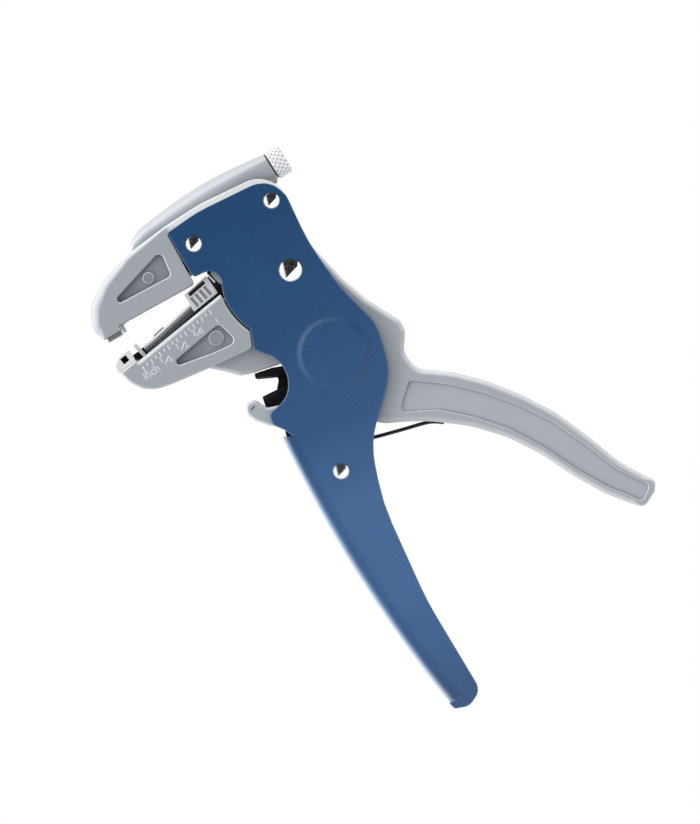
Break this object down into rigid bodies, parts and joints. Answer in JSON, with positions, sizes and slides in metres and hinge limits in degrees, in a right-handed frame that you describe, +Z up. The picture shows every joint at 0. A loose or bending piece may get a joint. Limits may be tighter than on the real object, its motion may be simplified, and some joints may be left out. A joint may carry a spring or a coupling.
{
  "type": "automatic wire stripper",
  "caption": "Hand tool that grips an insulated wire, parts its covering between two blades and pulls it off, with a wire cutter below the jaws and a screw for the spring tension.",
  "frame": {"origin": "the rear handle's pivot axis, in the plane the tool rests on", "axes": "+Z up out of the front face, +X the way the blades draw back, +Y towards the spring tube"},
  "size_m": [0.1195, 0.1705, 0.0184],
  "materials": {
    "painted_blue_steel": "gloss enamel on pressed sheet, lightly pebbled",
    "grey_casting": "satin grey on a die casting",
    "plain_steel": "plain machined steel",
    "polished_rivet": "polished",
    "black_steel": "blackened, oiled",
    "chrome_slider": "nickel plated",
    "bright_knurl": "knurled bright steel"
  },
  "bodies": {
    "frame": {"body_shell": "painted_blue_steel", "upper_jaw": "grey_casting", "upper_grip_pad": "plain_steel", "upper_jaw_rivets": "polished_rivet", "main_pivot_rivet": "polished_rivet", "main_pivot_bush": "plain_steel", "spring_rivet": "polished_rivet", "spring_bush": "plain_steel", "return_spring": "black_steel", "upper_cutter_blade": "black_steel", "cutter_posts": "plain_steel", "upper_guide_pin": "plain_steel", "spring_plunger": "plain_steel", "tension_spring": "plain_steel"},
    "rear_handle": {"rear_handle": "grey_casting", "draw_pin": "plain_steel", "closing_pin": "plain_steel", "closing_roller": "plain_steel", "lower_cutter_blade": "black_steel", "cutter_screws": "plain_steel"},
    "lower_jaw": {"lower_jaw": "grey_casting", "lower_grip_block": "chrome_slider", "grip_block_pin": "plain_steel", "lower_guide_pin": "plain_steel", "jaw_spring": "plain_steel"},
    "lower_carriage": {"lower_blade_rail": "plain_steel", "lower_blade": "plain_steel", "lower_blade_screw": "plain_steel"},
    "stop": {"stop_slider": "chrome_slider", "slider_click_spring": "plain_steel"},
    "upper_carriage": {"upper_blade_carriage": "plain_steel", "upper_blade": "plain_steel", "upper_blade_screw": "plain_steel"},
    "knob": {"adjusting_knob": "bright_knurl", "adjusting_screw": "plain_steel"},
    "nut": {"adjusting_nut": "plain_steel"}
  },
  "joints": [
    {"name": "handle_hinge", "type": "hinge", "parent": "frame", "child": "rear_handle", "pos_m": [0, 0, 0.0088], "axis": [0, 0, 1], "range_deg": [-18, 0], "stiffness_Nm_per_rad": 1.5, "springref_deg": 17.19, "deforming": ["return_spring"]},
    {"name": "jaw_hinge", "type": "hinge", "parent": "frame", "child": "lower_jaw", "pos_m": [0.0013, 0.0273, 0.0088], "axis": [0, 0, 1], "range_deg": [-4.6, 0], "deforming": ["jaw_spring"]},
    {"name": "lower_blade_slide", "type": "slide", "parent": "lower_jaw", "child": "lower_carriage", "axis": [0.9968, 0.0802, 0], "range_m": [0, 0.01145]},
    {"name": "upper_blade_slide", "type": "slide", "parent": "frame", "child": "upper_carriage", "axis": [1, 0, 0], "range_m": [0, 0.01254]},
    {"name": "stop_slide", "type": "slide", "parent": "lower_carriage", "child": "stop", "axis": [0.9751, 0.2215, 0], "range_m": [-0.016, 0]},
    {"name": "knob_turn", "type": "hinge", "parent": "frame", "child": "knob", "pos_m": [0.01145, 0.05645, 0.0088], "axis": [0.9997, 0.0262, 0], "range_deg": [0, 1440]},
    {"name": "nut_slide", "type": "slide", "parent": "frame", "child": "nut", "axis": [-0.9997, -0.0262, 0], "range_m": [0, 0.0028], "deforming": ["tension_spring"]}
  ],
  "couplings": [
    {"joint": "jaw_hinge", "follows": "handle_hinge", "ratio": 0.25556},
    {"joint": "lower_blade_slide", "follows": "handle_hinge", "m_per_rad": -0.036382},
    {"joint": "upper_blade_slide", "follows": "handle_hinge", "m_per_rad": -0.039862},
    {"joint": "knob_turn", "follows": "nut_slide", "rad_per_m": 8976}
  ]
}
